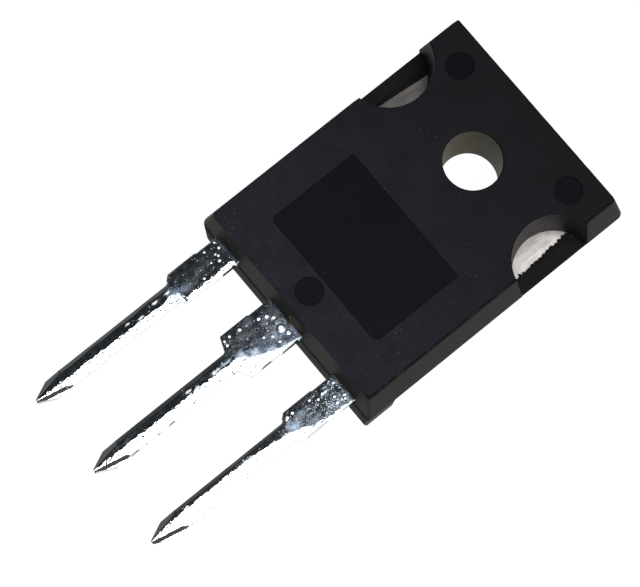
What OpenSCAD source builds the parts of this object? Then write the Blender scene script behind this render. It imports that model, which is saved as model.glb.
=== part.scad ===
// Power transistor in a three-lead plastic package with a screw hole.
// Lengths are in millimetres and angles in degrees.
// The origin is on the screw hole's axis, in the plane of the back face.
// X runs across the body, Y along it with the leads towards -Y, and Z out of the front.

/* [Moulded body] */
// Width of the body at the mould's parting line
body_w = 15.85; // [15.3:0.05:15.9]
// Length of the body at the mould's parting line
body_l = 20.15; // [19.7:0.05:20.7]
// Thickness of the body, back face to front face
body_t = 5; // [4.7:0.05:5.3]
// Distance from the screw hole's axis to the top end of the body
hole_to_top = 5.5; // [5.3:0.05:5.7]
// Height of the parting line above the back face
parting_h = 2.4; // [2.3:0.05:2.6]
// Draft of the two long walls in front of the parting line
side_draft = 12.75; // [8:0.25:14]
// Draft of the two end walls in front of the parting line
end_draft = 9.75; // [6:0.25:12]
// Draft of the walls behind the parting line
rear_draft = 10; // [6:0.25:12]
// Length of the upright heel at the lead end, behind the parting line
heel_l = 2.1; // [1.5:0.1:2.6]
// Draft of the heel's end wall
heel_draft = 0.5; // [0.25:0.25:3]
// Draft of the heel's two short side walls
heel_side_draft = 4; // [2:0.25:6]
// Radius of the upright corners at the parting line
corner_r = 0.3; // [0.1:0.05:0.6]

/* [Screw hole and notches] */
// Diameter of the screw hole
hole_d = 3.65; // [3.4:0.05:3.7]
// Diameter of the plastic ring that lines the screw hole, as seen on the back
ring_d = 7.2; // [6:0.1:7.4]
// Diameter of each side notch at the front face
notch_d = 5.62; // [5:0.02:5.8]
// Diameter of each side notch at its floor
notch_floor_d = 5.12; // [4.6:0.02:5.3]
// Distance of each notch's axis outside the body's edge
notch_out = 0; // [0:0.05:0.2]

/* [Marks in the front face] */
// Diameter of the ejector pin marks
pin_mark_d = 1.7; // [1.2:0.1:2]
// Depth of the ejector pin marks
pin_mark_depth = 0.08; // [0.04:0.01:0.15]
// Distance of the upper ejector pin marks either side of the centre line
pin_mark_x = 5.04; // [4.6:0.02:5.4]
// Distance of the upper ejector pin marks below the top end
pin_mark_top = 2.28; // [2:0.01:2.6]
// Distance of the lower ejector pin mark above the lead end
pin_mark_low = 1.95; // [1.7:0.05:2.1]
// Width of the shallow panel
panel_w = 9.7; // [7:0.1:11]
// Height of the shallow panel
panel_h = 6.3; // [4:0.1:6.4]
// Distance from the lead end to the panel's lower edge
panel_up = 3.05; // [2.8:0.05:3.3]
// Depth of the shallow panel
panel_depth = 0.05; // [0.03:0.01:0.1]
// Corner radius of the shallow panel
panel_r = 0.5; // [0.2:0.05:1]
// Diameter of the scar where the moulding compound flowed in
gate_scar_d = 1.3; // [0.8:0.1:1.5]
// Depth of the scar
gate_scar_depth = 0.12; // [0.05:0.01:0.2]
// Distance of the scar to the right of the centre line
gate_scar_x = 0.8; // [0:0.1:1.5]

/* [Header plate] */
// Plastic left between the header plate and each long wall of the body
plate_side = 1.05; // [0.95:0.05:1.2]
// Plastic left between the header plate and the body's lead end
plate_low = 2.85; // [2.7:0.05:3.1]
// Thickness of the header plate
plate_t = 2; // [1.8:0.05:2.1]
// Plastic left between the header plate and the body's top end
plate_high = 0.95; // [0.8:0.05:1.3]
// Chamfer of the header plate's upper corners
plate_chamfer = 1.4; // [0.8:0.1:2]
// Width of the groove that locks the plastic to the plate's long edges
lock_groove_d = 0.5; // [0.3:0.05:0.7]

/* [Leads] */
// Distance between neighbouring leads
lead_pitch = 5.46; // [5.3:0.02:5.6]
// Thickness of the lead strip
lead_t = 0.6; // [0.5:0.05:0.7]
// Length of the leads outside the body
lead_l = 14.52; // [14.2:0.01:16]
// Width of the slim part of every lead
slim_w = 1.28; // [1:0.02:1.4]
// Width of the outer leads by the body
outer_neck_w = 2.05; // [1.7:0.05:2.3]
// Width of the centre lead by the body
centre_neck_w = 3.05; // [2.6:0.05:3.4]
// How far the stub of the cut tie bar stands out of the left edge of a lead
tie_stub = 0.07; // [0.03:0.01:0.12]
// How far the tie bar's cut runs into the right edge of a lead
tie_nip = 0.05; // [0.02:0.01:0.1]
// Distance from the body to the cut tie bar
tie_start = 1.5; // [1.3:0.05:1.8]
// Distance from the body to the end of the wide part
shoulder_l = 3.65; // [3.5:0.05:4.2]
// Length of the slope from the wide part to the slim part
slope_l = 0.3; // [0.2:0.05:0.6]
// Radius where the slope meets the slim part
slope_r = 0.2; // [0.1:0.02:0.3]
// Length of the point, seen from the front
point_l = 1.14; // [0.8:0.02:1.8]
// Length of the point, seen from the side
point_side_l = 1.9; // [1.2:0.05:2.4]
// Width of the blunt end of the point
point_w = 0.24; // [0.15:0.01:0.4]
// Thickness of the blunt end of the point
point_t = 0.22; // [0.15:0.01:0.4]

/* [Lead posts inside the body] */
// Width of the posts that the bond wires land on
post_w = 4.4; // [3.6:0.1:4.6]
// Length of the posts along the body
post_l = 1.4; // [1.2:0.05:1.5]
// Distance from the post to the header plate, along the body
post_gap = 0.25; // [0.15:0.05:0.3]
// Plastic left between a post and the body's long wall at the parting line
post_cover = 0.9; // [0.8:0.05:1.1]
// Radius of the half-round nicks that lock each lead in the plastic
nick_r = 0.25; // [0.15:0.05:0.35]
// Height that the centre lead rises through from the plate's front to its own front
jog_rise = 1; // [0.8:0.05:1.1]
// Length of the sloping jog in the centre lead
jog_l = 1; // [0.8:0.1:1.2]

/* [Chip and wires] */
// Width of the silicon chip
chip_w = 7.6; // [5:0.1:8.5]
// Length of the silicon chip
chip_l = 6.2; // [4.5:0.1:6.4]
// Thickness of the silicon chip
chip_t = 0.3; // [0.2:0.02:0.4]
// Thickness of the solder under the chip
solder_t = 0.08; // [0.05:0.01:0.12]
// How far the solder spreads past the chip on every side
solder_rim = 0.2; // [0.1:0.02:0.3]
// Distance from the plate's lead end to the chip
chip_up = 0.75; // [0.6:0.05:0.9]
// Number of wires that join the chip to the source lead
source_wires = 3; // [1:1:3]
// Diameter of the source wires
source_wire_d = 0.38; // [0.25:0.01:0.45]
// Diameter of the gate wire
gate_wire_d = 0.18; // [0.12:0.01:0.25]
// Distance between the source wires on the post
post_wire_pitch = 1.2; // [1:0.05:1.3]
// Distance between the source wires on the chip
chip_wire_pitch = 1.1; // [0.8:0.05:1.2]
// Distance from the chip's lead end to the source wires' feet
source_foot_in = 2.6; // [1.6:0.1:3.2]
// Distance from the chip's lead end to the gate wire's foot
gate_foot_in = 1; // [0.8:0.1:1.4]
// Distance of the gate wire's foot from the chip's left edge
gate_foot_side = 1; // [0.7:0.1:1.4]
// Rise of the source wires' loops above a straight line
source_loop = 0.85; // [0.6:0.05:1]
// Rise of the gate wire's loop above a straight line
gate_loop = 0.6; // [0.4:0.05:0.8]

/* [Hidden] */
$fn = 64;
// Overshoot of a cut past the surface that it opens
cut = 1;
// Height of the lead plane's underside and front
lead_z = parting_h;
lead_top = lead_z + lead_t;
// Places along the body
top_y = hole_to_top;
end_y = hole_to_top - body_l;
plate_top_y = top_y - plate_high;
plate_end_y = end_y + plate_low;
post_y = plate_end_y - post_gap;
chip_y = plate_end_y + chip_up + chip_l / 2;
// Places along the leads
tie_y = end_y - tie_start;
shoulder_y = end_y - shoulder_l;
slope_y = shoulder_y - slope_l;
tip_y = end_y - lead_l;
point_y = tip_y + point_l;
point_side_y = tip_y + point_side_l;
// Heights inside the body
chip_z = plate_t + solder_t;
chip_top = chip_z + chip_t;
// Insets of the drafted walls
side_in = (body_t - parting_h) * tan(side_draft);
end_in = (body_t - parting_h) * tan(end_draft);
rear_in = parting_h * tan(rear_draft);
heel_in = parting_h * tan(heel_draft);
heel_side_in = parting_h * tan(heel_side_draft);
// Distance of the posts' centres from the body's centre line
post_x = body_w / 2 - post_cover - post_w / 2;
// Flattened feet of the wires, as shares of the wire's diameter
foot_w = 1.4;
foot_h = 0.55;
foot_back = 1.4;
foot_front = 0.6;
// Steps of the fillets drawn as points
fillet_steps = 6;

// Section of the body: the back inset, the parting line and the front inset on each side
function body_section(low, high, low_back, high_back, front_in) = [
    [low + low_back, 0], [high - high_back, 0],
    [high, parting_h], [high - front_in, body_t],
    [low + front_in, body_t], [low, parting_h]
];

// Extrudes a section drawn in X and Z along Y
module along_y(from, to) {
    translate([0, to, 0]) rotate([90, 0, 0]) linear_extrude(to - from) children();
}

// Extrudes a section drawn in Y and Z along X
module along_x(from, to) {
    translate([from, 0, 0]) rotate([90, 0, 90]) linear_extrude(to - from) children();
}

// Rectangle with true round corners, low corner at the given place
module round_rect(place, size, r) {
    translate(place) {
        translate([r, 0]) square([size[0] - 2 * r, size[1]]);
        translate([0, r]) square([size[0], size[1] - 2 * r]);
        for (x = [r, size[0] - r], y = [r, size[1] - r]) translate([x, y]) circle(r);
    }
}

module body_blank() {
    half_w = body_w / 2;
    intersection() {
        union() {
            intersection() {
                along_y(end_y, top_y)
                    polygon(body_section(-half_w, half_w, rear_in, rear_in, side_in));
                along_x(-half_w, half_w)
                    polygon(body_section(end_y, top_y, heel_in, rear_in, end_in));
            }
            intersection() {
                along_y(end_y, end_y + heel_l)
                    polygon(body_section(-half_w, half_w, heel_side_in, heel_side_in, side_in));
                along_x(-half_w, half_w)
                    polygon(body_section(end_y, top_y, heel_in, rear_in, end_in));
            }
        }
        linear_extrude(body_t) round_rect([-half_w, end_y], [body_w, body_l], corner_r);
    }
}

// Half-round notch that opens the side down to the header plate
module side_notch(side) {
    translate([side * (body_w / 2 + notch_out), 0, plate_t])
        cylinder(h = body_t - plate_t, d1 = notch_floor_d, d2 = notch_d);
}

module face_marks() {
    for (side = [-1, 1])
        translate([side * pin_mark_x, top_y - pin_mark_top, body_t - pin_mark_depth])
            cylinder(h = cut, d = pin_mark_d);
    translate([0, end_y + pin_mark_low, body_t - pin_mark_depth])
        cylinder(h = cut, d = pin_mark_d);
    translate([0, 0, body_t - panel_depth])
        linear_extrude(cut)
            round_rect([-panel_w / 2, end_y + panel_up], [panel_w, panel_h], panel_r);
}

// Shallow round hollow in the drafted end wall, half way up its height
module gate_scar() {
    scar_z = (parting_h + body_t) / 2;
    wall_y = end_y + (scar_z - parting_h) * tan(end_draft);
    translate([gate_scar_x, wall_y, scar_z])
        rotate([90 - end_draft, 0, 0])
            translate([0, 0, -gate_scar_depth]) cylinder(h = cut, d = gate_scar_d);
}

module header_plate() {
    half_w = body_w / 2 - plate_side;
    difference() {
        linear_extrude(plate_t) polygon([
            [-half_w, plate_end_y], [half_w, plate_end_y],
            [half_w, plate_top_y - plate_chamfer], [half_w - plate_chamfer, plate_top_y],
            [plate_chamfer - half_w, plate_top_y], [-half_w, plate_top_y - plate_chamfer]
        ]);
        translate([0, 0, -cut]) cylinder(h = plate_t + 2 * cut, d = ring_d);
        for (side = [-1, 1])
            translate([side * half_w, plate_top_y - plate_chamfer, plate_t / 2])
                rotate([90, 0, 0])
                    cylinder(h = plate_top_y - plate_end_y - plate_chamfer - lock_groove_d, d = lock_groove_d);
    }
}

// Half of a lead's outline, from the given inner end to the point, with the tie bar's step outwards
function lead_half(neck_w, inner_y, step) = concat(
    [[neck_w / 2, inner_y], [neck_w / 2, tie_y],
     [neck_w / 2 + step, tie_y - abs(step)], [neck_w / 2 + step, shoulder_y]],
    [for (i = [0 : fillet_steps]) let (a = 90 + 90 * i / fillet_steps)
        [slim_w / 2 + slope_r + slope_r * cos(a), slope_y - slope_r + slope_r * sin(a)]],
    [[slim_w / 2, point_y], [point_w / 2, tip_y]]);

// Whole outline of a lead: the right half, then the left half mirrored
function lead_outline(neck_w, inner_y) = let (left = lead_half(neck_w, inner_y, tie_stub))
    concat(lead_half(neck_w, inner_y, -tie_nip),
        [for (i = [len(left) - 1 : -1 : 0]) [-left[i][0], left[i][1]]]);

// Side view of a lead's front end: flat strip that narrows to the point
function lead_side(inner_y) = [
    [inner_y, lead_z], [point_side_y, lead_z],
    [tip_y, lead_z + (lead_t - point_t) / 2], [tip_y, lead_z + (lead_t + point_t) / 2],
    [point_side_y, lead_top], [inner_y, lead_top]
];

// One pair of half-round nicks where the neck enters the plastic
module lock_nicks(neck_w) {
    for (side = [-1, 1])
        translate([side * neck_w / 2, (post_y - post_l + end_y) / 2, lead_z - cut])
            cylinder(h = lead_t + 2 * cut, r = nick_r);
}

// Gate lead (side -1) or source lead (side 1), with the post for its wires
module outer_lead(side) {
    neck_y = post_y - post_l;
    difference() {
        union() {
            intersection() {
                translate([side * lead_pitch, 0, lead_z])
                    linear_extrude(lead_t) polygon(lead_outline(outer_neck_w, neck_y + cut / 2));
                along_x(side * lead_pitch - outer_neck_w, side * lead_pitch + outer_neck_w)
                    polygon(lead_side(neck_y + cut / 2));
            }
            translate([side * post_x - post_w / 2, neck_y, lead_z]) cube([post_w, post_l, lead_t]);
        }
        translate([side * lead_pitch, 0, 0]) lock_nicks(outer_neck_w);
    }
}

// Side view of the centre lead: strip at the plate's front, jog, then the lead plane
function centre_side() = let (
        strip_top = lead_top - jog_rise, strip_low = strip_top - lead_t,
        jog_start = plate_end_y - post_gap, jog_end = jog_start - jog_l)
    concat(
        [[plate_end_y + cut, strip_low], [jog_start, strip_low], [jog_end, lead_z]],
        [for (i = [1 : 4]) lead_side(jog_end)[i]],
        [[jog_end, lead_top], [jog_start, strip_top], [plate_end_y + cut, strip_top]]);

module centre_lead() {
    difference() {
        intersection() {
            linear_extrude(body_t) polygon(lead_outline(centre_neck_w, plate_end_y + cut));
            along_x(-centre_neck_w, centre_neck_w) polygon(centre_side());
        }
        lock_nicks(centre_neck_w);
    }
}

// Aluminium wire, wedge bonded at both ends, whose loop is one arc
module bond_wire(from, to, d, rise) {
    run = norm([to[0] - from[0], to[1] - from[1]]);
    drop = to[2] - from[2];
    chord = norm([run, drop]);
    arc_r = (chord * chord / 4 + rise * rise) / (2 * rise);
    half_angle = asin(chord / 2 / arc_r);
    translate(from) rotate([0, 0, atan2(to[1] - from[1], to[0] - from[0])]) {
        translate([0, 0, d / 2]) rotate([0, -atan2(drop, run), 0])
            translate([chord / 2, 0, rise - arc_r])
                rotate([90, 0, 0]) rotate([0, 0, 90 - half_angle])
                    rotate_extrude(angle = 2 * half_angle) translate([arc_r, 0]) circle(d = d);
        wire_foot(d);
        translate([run, 0, drop]) mirror([1, 0, 0]) wire_foot(d);
    }
}

// Foot of a wire, pressed flat on its pad, with the loop leaving towards +X
module wire_foot(d) {
    intersection() {
        translate([-foot_back * d, 0, 0]) rotate([0, 90, 0])
            cylinder(h = (foot_back + foot_front) * d, d = foot_w * d);
        translate([-foot_back * d, -foot_w * d, 0])
            cube([(foot_back + foot_front) * d, 2 * foot_w * d, foot_h * d]);
    }
}

// Places of the wires' feet on the posts and on the chip
function post_foot(side, offset) = [side * (post_x + offset), post_y - post_l / 2, lead_top];
function chip_foot(x, inwards) = [x, chip_y - chip_l / 2 + inwards, chip_top];

module gate_wire_loop() {
    bond_wire(post_foot(-1, 0), chip_foot(gate_foot_side - chip_w / 2, gate_foot_in),
        gate_wire_d, gate_loop);
}

module source_wire_loop(i) {
    step = i - (source_wires + 1) / 2;
    bond_wire(post_foot(1, step * post_wire_pitch),
        chip_foot(chip_w / 4 + step * chip_wire_pitch, source_foot_in),
        source_wire_d, source_loop);
}

module solder_pad() {
    translate([-chip_w / 2 - solder_rim, chip_y - chip_l / 2 - solder_rim, plate_t])
        cube([chip_w + 2 * solder_rim, chip_l + 2 * solder_rim, solder_t]);
}

module chip_block() {
    translate([-chip_w / 2, chip_y - chip_l / 2, chip_z]) cube([chip_w, chip_l, chip_t]);
}

// Everything that the moulding compound flows round
module inner_parts() {
    header_plate();
    centre_lead();
    outer_lead(-1);
    outer_lead(1);
    solder_pad();
    chip_block();
    gate_wire_loop();
    for (i = [1 : source_wires]) source_wire_loop(i);
}

module moulded_case() {
    color("#25262a") difference() {
        body_blank();
        translate([0, 0, -cut]) cylinder(h = body_t + 2 * cut, d = hole_d);
        for (side = [-1, 1]) side_notch(side);
        face_marks();
        gate_scar();
        inner_parts();
    }
}

module drain_frame() {
    color("#c9c5c2") union() {
        header_plate();
        centre_lead();
    }
}

module gate_lead() {
    color("#b7babf") outer_lead(-1);
}

module source_lead() {
    color("#b7babf") outer_lead(1);
}

module chip_solder() {
    color("#8e9196") solder_pad();
}

module silicon_chip() {
    color("#56607a") chip_block();
}

module gate_wire() {
    color("#d2d4d6") gate_wire_loop();
}

module source_wire(i) {
    color("#d2d4d6") source_wire_loop(i);
}

moulded_case();
drain_frame();
gate_lead();
source_lead();
chip_solder();
silicon_chip();
gate_wire();
for (i = [1 : source_wires])
    source_wire(i);
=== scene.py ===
# Power transistor in a three-lead plastic package, with a screw hole and pointed tinned leads.
# Shapes are worked out in millimetres, in the part's own axes. Each is turned to metres at the end.
import math

import bmesh
import bpy
import numpy as np
from mathutils import Matrix, Vector, noise


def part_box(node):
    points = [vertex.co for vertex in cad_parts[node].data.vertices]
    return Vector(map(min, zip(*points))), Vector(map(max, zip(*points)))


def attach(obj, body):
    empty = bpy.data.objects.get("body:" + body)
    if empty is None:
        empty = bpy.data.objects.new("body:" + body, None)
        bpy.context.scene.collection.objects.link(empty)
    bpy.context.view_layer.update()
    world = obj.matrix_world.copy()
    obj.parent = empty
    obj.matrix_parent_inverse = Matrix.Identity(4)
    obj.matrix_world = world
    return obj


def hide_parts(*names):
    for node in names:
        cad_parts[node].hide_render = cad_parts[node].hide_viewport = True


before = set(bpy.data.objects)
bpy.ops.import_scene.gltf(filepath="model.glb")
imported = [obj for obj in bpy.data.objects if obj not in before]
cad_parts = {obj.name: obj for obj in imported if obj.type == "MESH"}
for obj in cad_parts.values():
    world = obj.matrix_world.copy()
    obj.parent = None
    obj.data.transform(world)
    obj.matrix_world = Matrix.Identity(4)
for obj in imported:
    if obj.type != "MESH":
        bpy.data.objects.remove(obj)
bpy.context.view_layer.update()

MM = 0.001

# Body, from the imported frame
case_low, case_high = (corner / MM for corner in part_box("moulded_case"))
HALF_W = case_high.x
TOP_Y = case_high.y
END_Y = case_low.y
BODY_T = case_high.z
MID_Y = (TOP_Y + END_Y) / 2
HALF_L = (TOP_Y - END_Y) / 2

# Leads and header plate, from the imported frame
gate_low, gate_high = (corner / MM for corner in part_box("gate_lead"))
plate_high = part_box("drain_frame")[1] / MM
LEAD_LOW = gate_low.z
LEAD_T = gate_high.z - gate_low.z
TIP_Y = gate_low.y
PLATE_HALF_W = plate_high.x
PLATE_TOP_Y = plate_high.y

# Walls of the moulding: drafts in degrees, the rest in millimetres
PARTING_Z = LEAD_LOW
SIDE_DRAFT = 12.75
END_DRAFT = 9.75
REAR_DRAFT = 10
HEEL_DRAFT = 0.5
HEEL_SIDE_DRAFT = 4
HEEL_Y = END_Y + 2.1
# Corner radii at the parting line: lower right, upper right, upper left, lower left
CORNERS = (0.18, 0.45, 0.22, 0.5)
# Same corners at the face, where the mould was sharper
FACE_CORNERS = (0.2, 0.3, 0.12, 0.25)
# How far the front half's wall stands back from the rear half's, at the lead end only
LEDGE = 0.05
LEDGE_RISE = 0.01
EDGE_R = 0.06
BACK_EDGE_R = 0.06
# Angles of the steps of a rounded edge
FILLET_STEPS = 6
FILLET = [math.radians(90 * step / FILLET_STEPS) for step in range(FILLET_STEPS + 1)]
# Stretches into which a ring divides the heel's sides, the long sides and the end walls
HEEL_STEPS = 14
SIDE_STEPS = 110
END_STEPS = 90
# How far the walls and the face edge wander where the mould is worn
WALL_WEAR = 0.006
EDGE_WEAR = 0.02
# Edges that bend more, in degrees, stay sharp: the parting line's do, the fillets' steps don't
CASE_SHARP = 19
# Chipped groove just inside the face's right edge
CHIP_DEPTH = 0.06
CHIP_W = 0.13

# Hole, notches and marks
HOLE_R = 1.825
HOLE_EDGE_R = 0.13
RING_R = 3.6
NOTCH_R = 2.81
NOTCH_FLOOR_R = 2.56
NOTCH_FLOOR_Z = 1.98
NOTCH_EDGE_R = 0.1
PLATE_T = 2
PLATE_LOW_Y = END_Y + 2.85
PLATE_CHAMFER = 1.4
PLATE_ROLL = 0.05
PLATE_ROLL_W = 1.8
PIN_MARK_R = 0.85
PIN_MARK_DEPTH = 0.08
PIN_MARK_EDGE_R = 0.02
PIN_MARK_X = 5.04
PIN_MARK_TOP = 2.28
PIN_MARK_LOW = 1.95
PANEL_W = 9.7
PANEL_H = 6.3
PANEL_UP = 3.05
PANEL_DEPTH = 0.05
PANEL_FLARE = 0.04
# Corner radii of the panel: lower right, upper right, upper left, lower left
PANEL_CORNERS = (0.45, 0.2, 0.15, 0.3)
GATE_SCAR_R = 0.65
GATE_SCAR_DEPTH = 0.12
GATE_SCAR_X = 0.8
# Thin dark skin on the plate, real resin flash on the right and painted shadow on the left: its
# heights, its sloped lip, and how far it goes in under the wall
FLASH_LOW_Z = 1.97
FLASH_LIP_Z = 2.015
FLASH_TOP_Z = 2.01
FLASH_LIP_W = 0.03
FLASH_OVERLAP = 0.15

# Leads outside the body
LEAD_PITCH = 5.46
OUTER_NECK_HALF = 1.025
CENTRE_NECK_HALF = 1.525
SLIM_HALF = 0.64
TIE_STUB = 0.07
TIE_NIP = 0.05
TIE_Y = END_Y - 1.5
SHOULDER_Y = END_Y - 3.65
SLOPE_Y = SHOULDER_Y - 0.3
SLOPE_R = 0.2
POINT_Y = TIP_Y + 1.14
POINT_SIDE_Y = TIP_Y + 1.9
POINT_HALF_W = 0.12
POINT_HALF_T = 0.11
ROOT_IN = 1.2
# Thickness that a lead keeps everywhere
LEAST_T = 0.06
# Bevels of a lead's lower edges: the left one as high as wide, the right one's width and height
LEFT_FOOT = 0.02
RIGHT_FOOT_W = 0.01
RIGHT_FOOT_H = 0.012
# Points across a lead's top between its rims, and across its underside
TOP_POINTS = 84
UNDER_POINTS = 14
# Edges of the leads that bend more, in degrees, stay sharp
LEAD_SHARP = 40

# Coat of tin on the leads: tilts in degrees, the rest in millimetres. Waves, ripple and grain are
# heights.
TIN_SKIN = 0.02
COAT_WAVE = 0.009
COAT_RIPPLE = 0.003
COAT_GRAIN = 0.0005
TIN_EDGE_R = 0.005
LIT_TILT = 7.5
BURR_W = 0.07
RIGHT_FACET_TILT = 30
LEFT_FACET_TILT = 24
FACET_DEPTH = 0.14
# Small drops: their smallest and largest radius, and how far from the body they usually lie
SPECK_R = (0.016, 0.034)
SPECK_REACH = 1.6
# Radius from which a drop is fully dull
DULL_DROP_R = 0.042

# Sizes of the patterns in the materials, in millimetres. Real filler, tin crystals, draw lines and
# chip cells are hundredths of a millimetre or finer and wouldn't show, so they are drawn coarser.
CLOUDS = 2.6
FILLER = 0.22
STAINS = 0.9
DUST = 0.22
DUST_DRIFTS = 1.6
TIN_HAZE = 0.35
TIN_CRYSTALS = 0.05
DRAW_LINES = 0.12
PLATE_BLOTCHES = 0.8
METAL_STAINS = 0.3
CHIP_CELLS = 0.2
CHIP_HAZE = 1.5


# Finishes


def srgb(text):
    """Linear RGBA of an sRGB hex colour."""
    parts = [int(text[i:i + 2], 16) / 255 for i in (1, 3, 5)]
    return [c / 12.92 if c <= 0.04045 else ((c + 0.055) / 1.055) ** 2.4 for c in parts] + [1]


def per(size):
    """Texture scale at which a pattern repeats about every so many millimetres."""
    return 1 / (size * MM)


def node(tree, kind, inputs=None, **settings):
    """Adds a node, sets its properties, and fills or links its inputs, by name or by number.

    On a Mix node, 0 is the share, 2 and 3 are the two values, and 6 and 7 the two colours.
    """
    made = tree.nodes.new(kind)
    for name, value in settings.items():
        setattr(made, name, value)
    for name, value in (inputs or {}).items():
        if isinstance(value, bpy.types.NodeSocket):
            tree.links.new(value, made.inputs[name])
        else:
            made.inputs[name].default_value = value
    return made


def new_material(name):
    """Material with its node tree, its shader and a place to read patterns from, in metres."""
    made = bpy.data.materials.new(name)
    made.use_nodes = True
    tree = made.node_tree
    place = node(tree, "ShaderNodeTexCoord").outputs["Object"]
    return made, tree, tree.nodes["Principled BSDF"], place


def stained(tree, place, lead_end_ramp, colour, stain):
    """Colour with smeared handling stains over it, denser towards the leads."""
    smears = node(tree, "ShaderNodeTexNoise",
                  {"Vector": place, "Scale": per(STAINS), "Detail": 5.0, "Roughness": 0.7})
    smeared = node(tree, "ShaderNodeMapRange",
                   {"Value": smears.outputs["Fac"], "From Min": 0.4, "From Max": 0.72})
    near_leads = node(tree, "ShaderNodeMath", {0: lead_end_ramp, 1: 2.0}, operation="POWER")
    amount = node(tree, "ShaderNodeMath", {0: smeared.outputs[0], 1: near_leads.outputs[0]},
                  operation="MULTIPLY")
    return node(tree, "ShaderNodeMix", {0: amount.outputs[0], 6: colour, 7: srgb(stain)},
                data_type="RGBA").outputs[2]


def dusted(tree, place, lead_end_ramp, colour, dust):
    """Colour with single pale grains of dust over it, wiped into short streaks and drifts."""
    swept = node(tree, "ShaderNodeMapping",
                 {"Vector": place, "Rotation": (0.0, 0.0, math.radians(50)),
                  "Scale": (1.0, 0.45, 1.0)})
    grains = node(tree, "ShaderNodeTexVoronoi", {"Vector": swept.outputs[0], "Scale": per(DUST)})
    drifts = node(tree, "ShaderNodeTexNoise",
                  {"Vector": place, "Scale": per(DUST_DRIFTS), "Detail": 2.0})
    gathered = node(tree, "ShaderNodeMath", {0: lead_end_ramp, 1: 0.2, 2: drifts.outputs["Fac"]},
                    operation="MULTIPLY_ADD")
    reach = node(tree, "ShaderNodeMapRange",
                 {"Value": gathered.outputs[0], "From Min": 0.5, "From Max": 0.9, "To Max": 0.24})
    grain_mask = node(tree, "ShaderNodeMath",
                      {0: grains.outputs["Distance"], 1: reach.outputs[0]},
                      operation="LESS_THAN")
    return node(tree, "ShaderNodeMix", {0: grain_mask.outputs[0], 6: colour, 7: srgb(dust)},
                data_type="RGBA").outputs[2]


def moulded_epoxy(name, base, tint, roughness, grain, relief, specular, dust=None, stain=None):
    """Silica-filled epoxy moulding compound, cast against an eroded steel mould.

    Near black and matt: the eye gets a fine, even grain, faint cloudy patches of a greyer tone,
    which shift towards the tint near the lead end (on the face a lighter tint: painted light),
    stains from handling towards the lead end, and single pale grains of dust.
    grain and relief are the width and the height of the mould's grain, in millimetres. Its real
    width is about 0.03, which wouldn't show, so it is drawn coarser.
    """
    made, tree, shader, place = new_material(name)
    clouds = node(tree, "ShaderNodeTexNoise",
                  {"Vector": place, "Scale": per(CLOUDS), "Detail": 3.0})
    fine = node(tree, "ShaderNodeTexNoise",
                {"Vector": place, "Scale": per(grain), "Detail": 4.0, "Roughness": 0.65})
    filler = node(tree, "ShaderNodeTexVoronoi", {"Vector": place, "Scale": per(FILLER)})
    speck = node(tree, "ShaderNodeMapRange",
                 {"Value": filler.outputs["Distance"], "From Min": 0.05, "From Max": 0.16,
                  "To Min": 1.0, "To Max": 0.0})
    along = node(tree, "ShaderNodeSeparateXYZ", {0: place}).outputs["Y"]
    lead_end_ramp = node(tree, "ShaderNodeMapRange",
                   {"Value": along, "From Min": TOP_Y * MM, "From Max": END_Y * MM})
    # Towards the lead end the tone moves to the tint, a lighter one on the face: painted light
    clouds_and_ramp = node(tree, "ShaderNodeMath", {0: clouds.outputs["Fac"], 1: lead_end_ramp.outputs[0]},
                 operation="ADD")
    clouds_and_painted_light = node(tree, "ShaderNodeMapRange",
                 {"Value": clouds_and_ramp.outputs[0], "From Min": 0.55, "From Max": 1.35})
    colour = node(tree, "ShaderNodeMix", {0: clouds_and_painted_light.outputs[0], 6: srgb(base), 7: srgb(tint)},
                  data_type="RGBA").outputs[2]
    if stain:
        colour = stained(tree, place, lead_end_ramp.outputs[0], colour, stain)
    if dust:
        colour = dusted(tree, place, lead_end_ramp.outputs[0], colour, dust)
    tree.links.new(colour, shader.inputs["Base Color"])
    rough = node(tree, "ShaderNodeMapRange",
                 {"Value": fine.outputs["Fac"], "From Min": 0.3, "From Max": 0.7,
                  "To Min": roughness - 0.05, "To Max": roughness + 0.05})
    tree.links.new(rough.outputs[0], shader.inputs["Roughness"])
    height = node(tree, "ShaderNodeMath",
                  {0: speck.outputs[0], 1: 0.5, 2: fine.outputs["Fac"]}, operation="MULTIPLY_ADD")
    bump = node(tree, "ShaderNodeBump",
                {"Height": height.outputs[0], "Strength": 1.0, "Distance": relief * MM})
    tree.links.new(bump.outputs["Normal"], shader.inputs["Normal"])
    shader.inputs["IOR"].default_value = 1.55
    shader.inputs["Specular IOR Level"].default_value = specular
    return made


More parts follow.
